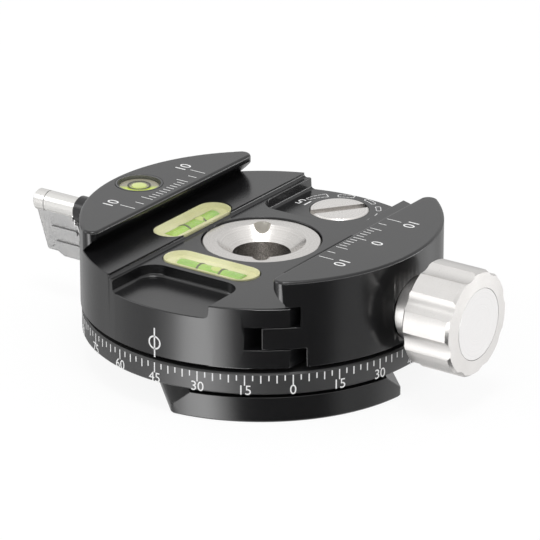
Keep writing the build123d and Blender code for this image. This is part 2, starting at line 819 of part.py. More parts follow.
# Lock screw: its cone pushes the brake pin down on the ring when the lever is turned
with BuildPart() as lock_screw:
    with BuildSketch(facing_y()):
        with BuildLine():
            Polyline(
                (lock_screw_end + seat_clear, lock_height),
                (lock_screw_end + seat_clear, lock_height + lock_screw_radius),
                (lock_tip - lock_screw_radius, lock_height + lock_screw_radius),
                (lock_tip, lock_height),
                close=True,
            )
        make_face()
    revolve(axis=Axis((0, 0, lock_height), (1, 0, 0)))
    with BuildSketch(facing_x(lever_outer, 0, lock_height)):
        Circle(lever_screw_radius + running_clear)
    extrude(amount=lever_screw_length + seat_clear, mode=Mode.SUBTRACT)
save(lock_screw, "lock_screw")

# Brake pin: a dowel with a slanted head under the lock screw's cone
pin_floor = ring_top + brake_lift
pin_top = lock_height - brake_top_drop
wedge_drop = brake_wedge_gap * sqrt(2)
pin_left = brake_pin_x - brake_pin_radius
pin_left_top = lock_height + pin_left - lock_tip - wedge_drop
slope_end = lock_tip + wedge_drop + pin_top - lock_height
with BuildPart() as brake_pin:
    with BuildSketch(Plane.XY.offset(pin_floor)):
        with Locations((brake_pin_x, 0)):
            Circle(brake_pin_radius)
    extrude(amount=pin_top - pin_floor)
    with BuildSketch(facing_y()):
        with BuildLine():
            Polyline(
                (pin_left, pin_left_top),
                (slope_end, pin_top),
                (pin_left, pin_top),
                close=True,
            )
        make_face()
    extrude(amount=brake_pin_radius, both=True, mode=Mode.SUBTRACT)
save(brake_pin, "brake_pin")

# Click dial: a slotted disc on a stem that sets the push of the detent spring
stem_floor = dial_seat - dial_stem_length
with BuildPart() as click_dial:
    with BuildSketch(Plane.XY.offset(dial_seat)):
        with Locations((0, detent_radius)):
            Circle(dial_radius)
    extrude(amount=dial_thickness)
    chamfer(click_dial.faces().sort_by(Axis.Z)[-1].edges(), dial_edge)
    with BuildSketch(Plane.XY.offset(dial_top)):
        with Locations((0, detent_radius)):
            SlotOverall(2 * dial_radius + dial_slot_width, dial_slot_width, rotation=dial_slot_angle)
    extrude(amount=-dial_slot_depth, mode=Mode.SUBTRACT)
    with BuildSketch(Plane.XY.offset(stem_floor)):
        with Locations((0, detent_radius)):
            Circle(dial_stem_radius)
    extrude(amount=dial_stem_length)
save(click_dial, "click_dial")

# Detent ball: runs in the ring's groove and drops into its dimples
with BuildPart() as detent_ball:
    with Locations((0, detent_radius, ball_height)):
        Sphere(ball_radius)
save(detent_ball, "detent_ball")

# Detent spring: pushes the ball down from under the dial's stem
detent_spring_foot = ball_height + ball_radius
detent_spring_rise = stem_floor - detent_spring_wire - detent_spring_foot
with BuildPart() as detent_spring:
    with BuildLine():
        detent_coil = Helix(
            pitch=detent_spring_rise / detent_spring_turns,
            height=detent_spring_rise,
            radius=detent_spring_radius,
            center=(0, detent_radius, detent_spring_foot),
        )
    with BuildSketch(Plane(origin=detent_coil @ 0, z_dir=detent_coil % 0)):
        Circle(detent_spring_wire)
    sweep(path=detent_coil)
save(detent_spring, "detent_spring")

# Tube levels: clear blocks with round ends, each with a sealed tube inside
with BuildPart() as level_along_block:
    with BuildSketch(Plane.XY.offset(along_top - vial_depth)):
        with Locations((along_x, along_y)):
            SlotOverall(vial_length, vial_width, rotation=90)
    extrude(amount=vial_depth)
    fillet(level_along_block.faces().sort_by(Axis.Z)[-1].edges(), vial_edge)
    with Locations((along_x, along_y, along_top - vial_tube_drop)):
        Cylinder(
            vial_tube_radius + running_clear,
            vial_tube_length + 2 * seat_clear,
            rotation=(90, 0, 0),
            mode=Mode.SUBTRACT,
        )
save(level_along_block, "level_along_block")

with BuildPart() as level_along_tube:
    with Locations((along_x, along_y, along_top - vial_tube_drop)):
        Cylinder(vial_tube_radius, vial_tube_length, rotation=(90, 0, 0))
    fillet(level_along_tube.edges().filter_by(GeomType.CIRCLE), vial_edge)
save(level_along_tube, "level_along_tube")

with BuildPart() as level_across_block:
    with BuildSketch(Plane.XY.offset(across_top - vial_depth)):
        with Locations((0, across_y)):
            SlotOverall(vial_length, vial_width)
    extrude(amount=vial_depth)
    fillet(level_across_block.faces().sort_by(Axis.Z)[-1].edges(), vial_edge)
    with Locations((0, across_y, across_top - vial_tube_drop)):
        Cylinder(
            vial_tube_radius + running_clear,
            vial_tube_length + 2 * seat_clear,
            rotation=(0, 90, 0),
            mode=Mode.SUBTRACT,
        )
save(level_across_block, "level_across_block")

with BuildPart() as level_across_tube:
    with Locations((0, across_y, across_top - vial_tube_drop)):
        Cylinder(vial_tube_radius, vial_tube_length, rotation=(0, 90, 0))
    fillet(level_across_tube.edges().filter_by(GeomType.CIRCLE), vial_edge)
save(level_across_tube, "level_across_tube")

# Round level: a metal cup with a domed clear capsule in it
round_level_floor = jaw_top - bullseye_depth
capsule_radius = bullseye_radius - bullseye_wall - running_clear
capsule_floor = round_level_floor + bullseye_floor + seat_clear
dome_sphere = (capsule_radius**2 + bullseye_dome**2) / (2 * bullseye_dome)
with BuildPart() as round_level_cup:
    with BuildSketch(Plane.XY.offset(round_level_floor)):
        with Locations((bullseye_x, 0)):
            Circle(bullseye_radius)
    extrude(amount=bullseye_depth)
    with BuildSketch(Plane.XY.offset(round_level_floor + bullseye_floor)):
        with Locations((bullseye_x, 0)):
            Circle(bullseye_radius - bullseye_wall)
    extrude(amount=bullseye_depth, mode=Mode.SUBTRACT)
save(round_level_cup, "round_level_cup")

with BuildPart() as round_level_capsule:
    with BuildSketch(facing_y()):
        with BuildLine():
            Polyline(
                (bullseye_x, jaw_top + bullseye_dome),
                (bullseye_x, capsule_floor),
                (bullseye_x + capsule_radius, capsule_floor),
                (bullseye_x + capsule_radius, jaw_top),
            )
            RadiusArc(
                (bullseye_x + capsule_radius, jaw_top),
                (bullseye_x, jaw_top + bullseye_dome),
                -dome_sphere,
            )
        make_face()
    revolve(axis=Axis((bullseye_x, 0, 0), (0, 0, 1)))
save(round_level_capsule, "round_level_capsule")
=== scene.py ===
from math import cos, pi, radians, sin, sqrt, tau

import bmesh
import bpy
from mathutils import Matrix, Vector


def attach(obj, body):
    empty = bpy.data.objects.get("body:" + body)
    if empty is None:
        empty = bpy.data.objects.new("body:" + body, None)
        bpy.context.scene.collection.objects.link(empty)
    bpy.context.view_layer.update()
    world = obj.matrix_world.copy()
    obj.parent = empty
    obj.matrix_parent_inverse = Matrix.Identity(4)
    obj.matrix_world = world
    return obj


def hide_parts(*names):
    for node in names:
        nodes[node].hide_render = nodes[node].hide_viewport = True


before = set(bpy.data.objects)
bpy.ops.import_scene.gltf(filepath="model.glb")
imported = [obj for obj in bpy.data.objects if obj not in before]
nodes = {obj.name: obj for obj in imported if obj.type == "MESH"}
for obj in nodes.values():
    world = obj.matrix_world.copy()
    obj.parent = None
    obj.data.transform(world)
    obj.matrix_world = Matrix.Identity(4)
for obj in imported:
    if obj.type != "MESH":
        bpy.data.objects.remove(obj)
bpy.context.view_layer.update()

# Lengths are written in millimetres and turned into metres where a mesh is made
MM = 0.001

# Places on the clamp
BODY_RADIUS = 30.2
RING_RADIUS = 30.0
JAW_TOP = 24.5
RECESS_FLOOR = 17.9
DIAL_PLACE = (0.0, 23.1)
SCREW_HEIGHT = 14.9
LOCK_HEIGHT = 17.0
BARREL_RADIUS = 1.85
BARREL_BORE = 1.6

# Printed marks stand a little proud of the face that carries them and reach a little into it
MARK_PROUD = 0.012
MARK_SUNK = 0.03
MARK_DEPTH = MARK_PROUD + MARK_SUNK
MARK_LIFT = (MARK_PROUD - MARK_SUNK) / 2

# Levels: the middle of each tube and of the round level, and how far the tube lies down
ALONG_PLACE = (-13.7, -0.6, 18.4)
ACROSS_PLACE = (0.0, -14.3, 17.9)
ROUND_PLACE = (-25.2, 0.0)
TUBE_DROP = 2.4
TUBE_RADIUS = 1.9

# Spanner notches of the bushing: opposite each other, at an angle round the pan axis
NOTCH_TURN = radians(124)
NOTCH_REACH = 7.4
NOTCH_RADIUS = 1.42
NOTCH_PLACES = [
    (side * NOTCH_REACH * cos(NOTCH_TURN), side * NOTCH_REACH * sin(NOTCH_TURN)) for side in (1, -1)
]


# Materials: sizes of grains and patches, and where a change of look starts and ends
NOISE_ROUGHNESS = 0.6
PATCH_SIZE = 9.0
CLEAR_PATCH_SIZE = 2.5
TURNED_GRAIN = 0.12
PAINT_GRAIN = 0.15
GROOVE_FADE = (0.01, 0.03)
LIQUID_FADE = (-0.2, 1.2)

# Sockets of the Mix node, for two colours and for two numbers
COLOUR_FIRST, COLOUR_SECOND, COLOUR_RESULT = 6, 7, 2
NUMBER_FIRST, NUMBER_SECOND, NUMBER_RESULT = 2, 3, 0


def new_finish(name, colour, metal, rough):
    """A principled material with its plain values on its own sockets, and its nodes."""
    finish = bpy.data.materials.new(name)
    finish.use_nodes = True
    tree = finish.node_tree
    shader = tree.nodes["Principled BSDF"]
    shader.inputs["Base Color"].default_value = (*colour, 1.0)
    shader.inputs["Metallic"].default_value = metal
    shader.inputs["Roughness"].default_value = rough
    finish.diffuse_color = (*colour, 1.0)
    finish.metallic = metal
    finish.roughness = rough
    return finish, tree, shader


def node_of(tree, kind, **values):
    """A new node of a kind, with its settings."""
    made = tree.nodes.new(kind)
    for name, value in values.items():
        setattr(made, name, value)
    return made


def place_of(tree, centre=(0, 0, 0), scale=(1, 1, 1)):
    """Object coordinates moved to a centre given in millimetres."""
    place = node_of(tree, "ShaderNodeTexCoord")
    shift = node_of(tree, "ShaderNodeMapping", vector_type="POINT")
    shift.inputs["Location"].default_value = [-c * MM * s for c, s in zip(centre, scale)]
    shift.inputs["Scale"].default_value = scale
    tree.links.new(place.outputs["Object"], shift.inputs["Vector"])
    return shift.outputs["Vector"]


def noise_of(tree, place, size, detail=3.0):
    """Noise whose blots are about size millimetres across."""
    noise = node_of(tree, "ShaderNodeTexNoise")
    noise.inputs["Scale"].default_value = 1.0 / (size * MM)
    noise.inputs["Detail"].default_value = detail
    noise.inputs["Roughness"].default_value = NOISE_ROUGHNESS
    tree.links.new(place, noise.inputs["Vector"])
    return noise.outputs["Fac"]


def range_of(tree, value, low, high, start=0.3, end=0.7):
    """Turns a value that goes from start to end into one from low to high."""
    spread = node_of(tree, "ShaderNodeMapRange")
    spread.inputs["From Min"].default_value = start
    spread.inputs["From Max"].default_value = end
    spread.inputs["To Min"].default_value = low
    spread.inputs["To Max"].default_value = high
    tree.links.new(value, spread.inputs["Value"])
    return spread.outputs["Result"]


def tint_of(tree, value, dark, light):
    """A colour between dark and light by a value from 0 to 1."""
    mix = node_of(tree, "ShaderNodeMix", data_type="RGBA")
    mix.inputs[COLOUR_FIRST].default_value = (*dark, 1.0)
    mix.inputs[COLOUR_SECOND].default_value = (*light, 1.0)
    tree.links.new(value, mix.inputs["Factor"])
    return mix.outputs[COLOUR_RESULT]


def bump_of(tree, height, depth, under=None):
    """A bump of a depth in millimetres."""
    bump = node_of(tree, "ShaderNodeBump")
    bump.inputs["Strength"].default_value = 1.0
    bump.inputs["Distance"].default_value = depth * MM
    tree.links.new(height, bump.inputs["Height"])
    if under is not None:
        tree.links.new(under, bump.inputs["Normal"])
    return bump.outputs["Normal"]


def rings_of(tree, centre, pitch, turned_about):
    """Random rings round an axis through a centre, about pitch millimetres apart."""
    keep = [0.0 if axis == turned_about else 1.0 for axis in "XYZ"]
    place = place_of(tree, centre, keep)
    reach = node_of(tree, "ShaderNodeVectorMath", operation="LENGTH")
    tree.links.new(place, reach.inputs[0])
    rings = node_of(tree, "ShaderNodeTexNoise", noise_dimensions="1D")
    rings.inputs["Scale"].default_value = 1.0 / (pitch * MM)
    rings.inputs["Detail"].default_value = 2.0
    tree.links.new(reach.outputs["Value"], rings.inputs["W"])
    return rings.outputs["Fac"]


def blasted_finish(name, dark, light, metal, rough, grain, depth):
    """A fine blasted surface: small grains in the bump and the gloss, slow changes in tone."""
    finish, tree, shader = new_finish(name, light, metal, rough)
    place = place_of(tree)
    grains = noise_of(tree, place, grain)
    patches = noise_of(tree, place, PATCH_SIZE, 2.0)
    tone = range_of(tree, patches, 0.0, 1.0)
    tree.links.new(tint_of(tree, tone, dark, light), shader.inputs["Base Color"])
    gloss = range_of(tree, grains, rough - 0.04, rough + 0.05)
    tree.links.new(gloss, shader.inputs["Roughness"])
    tree.links.new(bump_of(tree, grains, depth), shader.inputs["Normal"])
    return finish


def turned_finish(name, dark, light, metal, rough, centre, pitch, depth, turned_about):
    """A surface with the fine rings of a lathe round its own axis."""
    finish, tree, shader = new_finish(name, light, metal, rough)
    rings = rings_of(tree, centre, pitch, turned_about)
    grains = noise_of(tree, place_of(tree), TURNED_GRAIN)
    tone = range_of(tree, rings, 0.0, 1.0)
    tree.links.new(tint_of(tree, tone, dark, light), shader.inputs["Base Color"])
    gloss = range_of(tree, grains, rough - 0.04, rough + 0.06)
    tree.links.new(gloss, shader.inputs["Roughness"])
    rough_rings = bump_of(tree, rings, depth)
    tree.links.new(bump_of(tree, grains, depth / 3, rough_rings), shader.inputs["Normal"])
    return finish


def clear_finish(name, dark, light, rough, cover):
    """Tinted clear plastic: cover is how much of what lies inside it hides."""
    finish, tree, shader = new_finish(name, light, 0.0, rough)
    patches = noise_of(tree, place_of(tree), CLEAR_PATCH_SIZE, 2.0)
    tone = range_of(tree, patches, 0.0, 1.0)
    tree.links.new(tint_of(tree, tone, dark, light), shader.inputs["Base Color"])
    tree.links.new(range_of(tree, patches, rough, rough + 0.06), shader.inputs["Roughness"])
    shader.inputs["Alpha"].default_value = cover
    return finish


def paint_finish(name, dark, light, rough):
    """A filled mark: flat paint with a fine grain."""
    finish, tree, shader = new_finish(name, light, 0.0, rough)
    grains = noise_of(tree, place_of(tree), PAINT_GRAIN)
    tone = range_of(tree, grains, 0.0, 1.0)
    tree.links.new(tint_of(tree, tone, dark, light), shader.inputs["Base Color"])
    tree.links.new(range_of(tree, grains, rough - 0.05, rough + 0.05), shader.inputs["Roughness"])
    return finish


def liquid_finish(name, shade, lit, centre, towards, rough):
    """The round level's liquid: a lit crescent on one side and a shaded zone on the other."""
    finish, tree, shader = new_finish(name, lit, 0.0, rough)
    place = place_of(tree, (*centre, 0))
    side = node_of(tree, "ShaderNodeVectorMath", operation="DOT_PRODUCT")
    side.inputs[1].default_value = (*towards, 0)
    tree.links.new(place, side.inputs[0])
    start, end = (edge * MM for edge in LIQUID_FADE)
    share = range_of(tree, side.outputs["Value"], 0.0, 1.0, start, end)
    tree.links.new(tint_of(tree, share, shade, lit), shader.inputs["Base Color"])
    return finish


def mill_grooves(finish, places, reach, colour, rough):
    """Gives upright round grooves at some places a painted highlight in a lighter colour, and more
    roughness.
    """
    tree = finish.node_tree
    shader = tree.nodes["Principled BSDF"]
    nearest = None
    for centre in places:
        away = node_of(tree, "ShaderNodeVectorMath", operation="LENGTH")
        tree.links.new(place_of(tree, (*centre, 0), (1, 1, 0)), away.inputs[0])
        if nearest is None:
            nearest = away.outputs["Value"]
        else:
            least = node_of(tree, "ShaderNodeMath", operation="MINIMUM")
            tree.links.new(nearest, least.inputs[0])
            tree.links.new(away.outputs["Value"], least.inputs[1])
            nearest = least.outputs[0]
    start, end = ((reach + edge) * MM for edge in GROOVE_FADE)
    inside = range_of(tree, nearest, 1.0, 0.0, start, end)
    # Painted highlight: the lighter colour inside the grooves
    tint = node_of(tree, "ShaderNodeMix", data_type="RGBA")
    tree.links.new(inside, tint.inputs["Factor"])
    tree.links.new(shader.inputs["Base Color"].links[0].from_socket, tint.inputs[COLOUR_FIRST])
    tint.inputs[COLOUR_SECOND].default_value = (*colour, 1.0)
    tree.links.new(tint.outputs[COLOUR_RESULT], shader.inputs["Base Color"])
    gloss = node_of(tree, "ShaderNodeMix", data_type="FLOAT")
    tree.links.new(inside, gloss.inputs["Factor"])
    tree.links.new(shader.inputs["Roughness"].links[0].from_socket, gloss.inputs[NUMBER_FIRST])
    gloss.inputs[NUMBER_SECOND].default_value = rough
    tree.links.new(gloss.outputs[NUMBER_RESULT], shader.inputs["Roughness"])


# Each finish: its dark and light tone, metal and roughness, and then the size and depth of its
# grain, or the centre, pitch, depth and axis of its rings
BLACK = blasted_finish(
    "satin_black_anodising", (0.006, 0.006, 0.0065), (0.008, 0.008, 0.0085), 0.0, 0.22, 0.1, 0.0012
)
RING_BLACK = turned_finish(
    "turned_black_anodising",
    (0.028, 0.028, 0.0285),
    (0.034, 0.034, 0.0345),
    0.0,
    0.38,
    (0, 0, 0),
    0.3,
    0.0008,
    "Z",
)
TURNED_STEEL = ((0.6, 0.58, 0.56), (0.66, 0.64, 0.62), 1.0, 0.24, (0, 0, 0), 0.2, 0.0004, "Z")
STEEL = turned_finish("turned_steel", *TURNED_STEEL)
DIAL_STEEL = turned_finish(
    "turned_dial_steel",
    (0.66, 0.64, 0.62),
    (0.76, 0.74, 0.72),
    1.0,
    0.28,
    (*DIAL_PLACE, 0),
    0.35,
    0.001,
    "Z",
)
KNOB_SILVER = blasted_finish(
    "satin_knob_aluminium", (0.6, 0.585, 0.57), (0.66, 0.645, 0.63), 1.0, 0.3, 0.12, 0.001
)
BUSHING_STEEL = turned_finish("turned_bushing_steel", *TURNED_STEEL)
# The spanner notches get a painted highlight, a lighter colour standing in for lamp light in them,
# and a rougher surface
mill_grooves(BUSHING_STEEL, NOTCH_PLACES, NOTCH_RADIUS, (0.84, 0.82, 0.78), 0.55)
CAP_SILVER = turned_finish(
    "turned_cap_aluminium",
    (0.66, 0.65, 0.645),
    (0.71, 0.7, 0.695),
    1.0,
    0.3,
    (0, 0, SCREW_HEIGHT),
    0.2,
    0.00015,
    "X",
)
BARREL_SILVER = turned_finish(
    "turned_barrel_aluminium",
    (0.66, 0.65, 0.63),
    (0.76, 0.75, 0.73),
    1.0,
    0.24,
    (0, 0, LOCK_HEIGHT),
    0.2,
    0.001,
    "X",
)
CAST_SILVER = blasted_finish(
    "blasted_cast_aluminium", (0.26, 0.26, 0.26), (0.35, 0.345, 0.34), 1.0, 0.32, 0.22, 0.05
)
DARK_STEEL = blasted_finish(
    "dark_steel", (0.1, 0.1, 0.105), (0.16, 0.16, 0.165), 1.0, 0.35, 0.15, 0.004
)
SPRING_STEEL = blasted_finish(
    "bright_spring_steel", (0.5, 0.5, 0.5), (0.62, 0.62, 0.62), 1.0, 0.25, 0.1, 0.002
)
SLIP_PLASTIC = blasted_finish(
    "slip_plastic", (0.78, 0.77, 0.72), (0.86, 0.85, 0.8), 0.0, 0.5, 0.3, 0.004
)
VIAL_BLOCK = clear_finish("level_acrylic", (0.68, 0.69, 0.4), (0.78, 0.78, 0.5), 0.08, 0.18)
VIAL_CORE = blasted_finish(
    "level_pale_core", (0.58, 0.57, 0.28), (0.82, 0.8, 0.56), 0.0, 0.4, 1.6, 0.002
)
VIAL_LIQUID = blasted_finish(
    "level_green_liquid", (0.1, 0.44, 0.001), (0.4, 0.7, 0.005), 0.0, 0.15, 2.2, 0.001
)
VIAL_BUBBLE = blasted_finish(
    "level_bubble", (0.5, 0.6, 0.16), (0.68, 0.74, 0.3), 0.0, 0.12, 1.2, 0.001
)
BUBBLE_EDGE = paint_finish("level_bubble_edge", (0.02, 0.2, 0.13), (0.05, 0.3, 0.2), 0.3)
CAPSULE_CLEAR = clear_finish("round_level_acrylic", (0.6, 0.62, 0.4), (0.7, 0.72, 0.5), 0.06, 0.06)
ROUND_LIQUID = liquid_finish(
    "round_level_liquid", (0.27, 0.25, 0.19), (0.56, 0.7, 0.06), ROUND_PLACE, (0.57, -0.82), 0.2
)
WHITE_MARK = paint_finish("white_mark", (0.68, 0.68, 0.68), (0.84, 0.84, 0.84), 0.6)
BLACK_MARK = paint_finish("black_mark", (0.006, 0.006, 0.006), (0.015, 0.015, 0.015), 0.5)


# Pieces made from the frame's own nodes: which of their edges are broken, and by what share
SMOOTH_ANGLE = radians(30)
FLAT_ANGLE = radians(0.2)
SHARP_ANGLE = radians(50)
LIP_ANGLE = radians(110)
LIP_SHARE = 1.0
EDGE_SHARE = 0.5
SHORT_EDGE = 0.5 * MM
SAME_POINT = 0.001 * MM
NARROW_TURN = cos(radians(25))


def put_finish(obj, finish):
    """Gives an object one finish all over."""
    obj.data.materials.clear()
    obj.data.materials.append(finish)


def object_of(name, work, finish):
    """An object at the origin from a bmesh in metres, smooth between its sharp edges."""
    mesh = bpy.data.meshes.new(name)
    work.to_mesh(mesh)
    work.free()
    for face in mesh.polygons:
        face.use_smooth = True
    mesh.set_sharp_from_angle(angle=SMOOTH_ANGLE)
    piece = bpy.data.objects.new(name, mesh)
    bpy.context.scene.collection.objects.link(piece)
    put_finish(piece, finish)
    return piece


def can_be_broken(edge):
    """True for a long sharp edge that no other edge leaves at a narrow angle."""
    if len(edge.link_faces) != 2 or edge.calc_length() < SHORT_EDGE:
        return False
    if edge.calc_face_angle() < SHARP_ANGLE or not edge.is_convex:
        return False
    for point in edge.verts:
        along = (edge.other_vert(point).co - point.co).normalized()
        for other in point.link_edges:
            if other is edge:
                continue
            beside = (other.other_vert(point).co - point.co).normalized()
            if along.dot(beside) > NARROW_TURN:
                return False
    return True


def dress(node, finish, broken_edge, body):
    """A copy of a CAD node with merged points and finely broken edges, which stands for it."""
    work = bmesh.new()
    work.from_mesh(nodes[node].data)
    bmesh.ops.remove_doubles(work, verts=work.verts, dist=SAME_POINT)
    bmesh.ops.dissolve_limit(
        work,
        angle_limit=FLAT_ANGLE,
        verts=work.verts,
        edges=work.edges,
        use_dissolve_boundaries=False,
    )
    broken = []
    for edge in work.edges:
        share = LIP_SHARE if edge.calc_face_angle(0.0) > LIP_ANGLE else EDGE_SHARE
        broken.append(share if broken_edge and can_be_broken(edge) else 0.0)
    piece = object_of(node + "_skin", work, finish)
    weights = piece.data.attributes.new("bevel_weight_edge", "FLOAT", "EDGE")
    weights.data.foreach_set("value", broken)
    if broken_edge:
        edge_break = piece.modifiers.new("broken_edges", "BEVEL")
        edge_break.width = broken_edge * MM
        edge_break.segments = 2
        edge_break.limit_method = "WEIGHT"
        edge_break.use_clamp_overlap = False
    flat_faces = piece.modifiers.new("flat_faces", "WEIGHTED_NORMAL")
    flat_faces.keep_sharp = True
    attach(piece, body)
    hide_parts(node)
    return piece


dress("clamp_body", BLACK, 0.26, "head")
dress("sliding_jaw", BLACK, 0.26, "jaw")
dress("degree_ring", RING_BLACK, 0.0, "base")
dress("dovetail_base", BLACK, 0.16, "base")
lever = dress("lock_lever", CAST_SILVER, 0.0, "lever")

# The lever's barrel is turned bright, the wing stays blasted
lever.data.materials.append(BARREL_SILVER)
for face in lever.data.polygons:
    off_axis = sqrt(face.center.y**2 + (face.center.z - LOCK_HEIGHT * MM) ** 2)
    on_wall = BARREL_BORE * MM < off_axis < (BARREL_RADIUS + 0.02) * MM
    if on_wall and abs(face.normal.x) < 0.5:
        face.material_index = 1

for name, finish in {
    "base_screws": DARK_STEEL,
    "pan_spindle": STEEL,
    "centre_bushing": BUSHING_STEEL,
    "hub_slip_washer": SLIP_PLASTIC,
    "pan_bearing": SLIP_PLASTIC,
    "jaw_guide_pins": SPRING_STEEL,
    "jaw_springs": SPRING_STEEL,
    "clamp_screw": SPRING_STEEL,
    "knob": KNOB_SILVER,
    "knob_washer": KNOB_SILVER,
    "knob_cap": CAP_SILVER,
    "lock_boss": BLACK,
    "lever_screw": DARK_STEEL,
    "lock_screw": SPRING_STEEL,
    "brake_pin": SLIP_PLASTIC,
    "click_dial": DIAL_STEEL,
    "detent_ball": SPRING_STEEL,
    "detent_spring": SPRING_STEEL,
    "level_along_block": VIAL_BLOCK,
    "level_along_tube": VIAL_LIQUID,
    "level_across_block": VIAL_BLOCK,
    "level_across_tube": VIAL_LIQUID,
    "round_level_cup": DARK_STEEL,
    "round_level_capsule": CAPSULE_CLEAR,
}.items():
    put_finish(nodes[name], finish)


# New pieces
def add_piece(name, work, finish, body):
    """Makes an object from a bmesh in millimetres, at the origin, riding on a body."""
    bmesh.ops.scale(work, vec=(MM, MM, MM), verts=work.verts)
    bmesh.ops.recalc_face_normals(work, faces=work.faces)
    piece = object_of(name, work, finish)
    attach(piece, body)


def add_block(work, size, matrix):
    """A block of a size in millimetres, put in place by a matrix."""
    made = bmesh.ops.create_cube(work, size=1.0)
    bmesh.ops.scale(work, vec=size, verts=made["verts"])
    bmesh.ops.transform(work, matrix=matrix, verts=made["verts"])


def add_tick_on_top(work, x_start, x_end, y, z, width):
    """A straight mark along X on a face that looks up."""
    middle = Matrix.Translation(((x_start + x_end) / 2, y, z + MARK_LIFT))
    add_block(work, (abs(x_end - x_start), width, MARK_DEPTH), middle)


def add_tick_on_wall(work, radius, angle, z_low, z_high, width):
    """An upright mark on a round wall, at an angle in degrees."""
    turn = Matrix.Rotation(radians(angle), 4, "Z")
    shift = Matrix.Translation((radius + MARK_LIFT, 0, (z_low + z_high) / 2))
    add_block(work, (MARK_DEPTH, width, z_high - z_low), turn @ shift)


# A digit's height as a share of its font's size, and the reach in which its points are merged
DIGIT_SHARE = 0.7
DIGIT_MERGE = 0.0005


def text_mesh(words, height):
    """Words as a flat solid in millimetres, centred, in the XY plane."""
    curve = bpy.data.curves.new("words", "FONT")
    curve.body = words
    curve.align_x = "CENTER"
    curve.align_y = "CENTER"
    curve.size = height / DIGIT_SHARE
    curve.extrude = MARK_DEPTH / 2
    curve.resolution_u = 4
    holder = bpy.data.objects.new("words", curve)
    bpy.context.scene.collection.objects.link(holder)
    bpy.context.view_layer.update()
    finished = holder.evaluated_get(bpy.context.evaluated_depsgraph_get())
    flat = bpy.data.meshes.new_from_object(finished)
    bpy.data.objects.remove(holder)
    bpy.data.curves.remove(curve)
    return flat


def add_words(work, words, height, matrix, wrap_radius=None):
    """Adds words to a bmesh; with wrap_radius they are bent round the Z axis first."""
    flat = text_mesh(words, height)
    lettering = bmesh.new()
    lettering.from_mesh(flat)
    bpy.data.meshes.remove(flat)
    bmesh.ops.remove_doubles(lettering, verts=lettering.verts, dist=DIGIT_MERGE)
    for point in lettering.verts:
        point.co.z += MARK_LIFT
        if wrap_radius:
            angle = point.co.x / wrap_radius
            reach = wrap_radius + point.co.z
            point.co = Vector((reach * cos(angle), reach * sin(angle), point.co.y))
    bmesh.ops.transform(lettering, matrix=matrix, verts=lettering.verts)
    made = bpy.data.meshes.new("words")
    lettering.to_mesh(made)
    lettering.free()
    work.from_mesh(made)
    bpy.data.meshes.remove(made)


# Degree scale on the ring's wall: marks 2.5 degrees apart, and a number at each long one
RING_ZERO = -45.4
RING_TICK_TURN = 2.5
RING_TICK_TOP = 8.35
RING_TICK_WIDTH = 0.2
RING_TICK_LENGTHS = (1.77, 0.94, 1.36, 0.94, 1.36, 0.94)
RING_NUMBER_TURN = 15
RING_NUMBER_MIDDLE = 5.7
RING_NUMBER_HEIGHT = 1.65
scale_marks = bmesh.new()
for step in range(round(360 / RING_TICK_TURN)):
    angle = RING_ZERO + step * RING_TICK_TURN
    foot = RING_TICK_TOP - RING_TICK_LENGTHS[step % len(RING_TICK_LENGTHS)]
    add_tick_on_wall(scale_marks, RING_RADIUS, angle, foot, RING_TICK_TOP, RING_TICK_WIDTH)
for turn in range(0, 360, RING_NUMBER_TURN):
    value = 90 - abs(turn % 180 - 90)
    lift = Matrix.Translation((0, 0, RING_NUMBER_MIDDLE))
    place = lift @ Matrix.Rotation(radians(RING_ZERO + turn), 4, "Z")
    add_words(scale_marks, str(value), RING_NUMBER_HEIGHT, place, RING_RADIUS)
add_piece("degree_scale", scale_marks, WHITE_MARK, "base")

# Index on the front wall of the clamp body: a line through a small circle
INDEX_CIRCLE = 1.06
INDEX_HEIGHT = 11.95
INDEX_STROKE = 0.26
INDEX_FOOT = 9.4
INDEX_TOP = 14.5
INDEX_DOTS = 32
index_mark = bmesh.new()
add_tick_on_wall(index_mark, BODY_RADIUS, -90, INDEX_FOOT, INDEX_TOP, INDEX_STROKE)
for step in range(INDEX_DOTS):
    turn = tau * step / INDEX_DOTS
    along, up = INDEX_CIRCLE * cos(turn), INDEX_CIRCLE * sin(turn)
    out = sqrt(BODY_RADIUS**2 - along**2) + MARK_LIFT
    dot = Matrix.Translation((along, -out, INDEX_HEIGHT + up))
    place = dot @ Matrix.Rotation(pi / 2 - turn, 4, "Y")
    add_block(index_mark, (INDEX_STROKE, MARK_DEPTH, INDEX_STROKE), place)
add_piece("body_index", index_mark, WHITE_MARK, "head")


# Millimetre scales on the two jaws: where the marks start, the place and length of each, and
# the numbers' distance from the channel's middle
TICK_WIDTH = 0.15
TOP_NUMBER_HEIGHT = 2.1
FIXED_SCALE_START = -18.7
FIXED_NUMBERS_OUT = -23.4
FIXED_TICKS = [(-10, 3.0), (10, 3.0), (-7.5, 1.7), (7.5, 1.7)]
FIXED_TICKS += [(y, 2.3 if abs(y) == 5 else 1.5) for y in range(-5, 6)]
SLIDING_SCALE_START = 18.25
SLIDING_NUMBERS_OUT = 22.85
SLIDING_TICKS = [(-10, 2.8), (10, 2.8), (0, 2.5), (-7.5, 1.5), (7.5, 1.5)]
SLIDING_TICKS += [(y, 2.2 if abs(y) == 5 else 1.4) for y in range(-5, 6) if y]

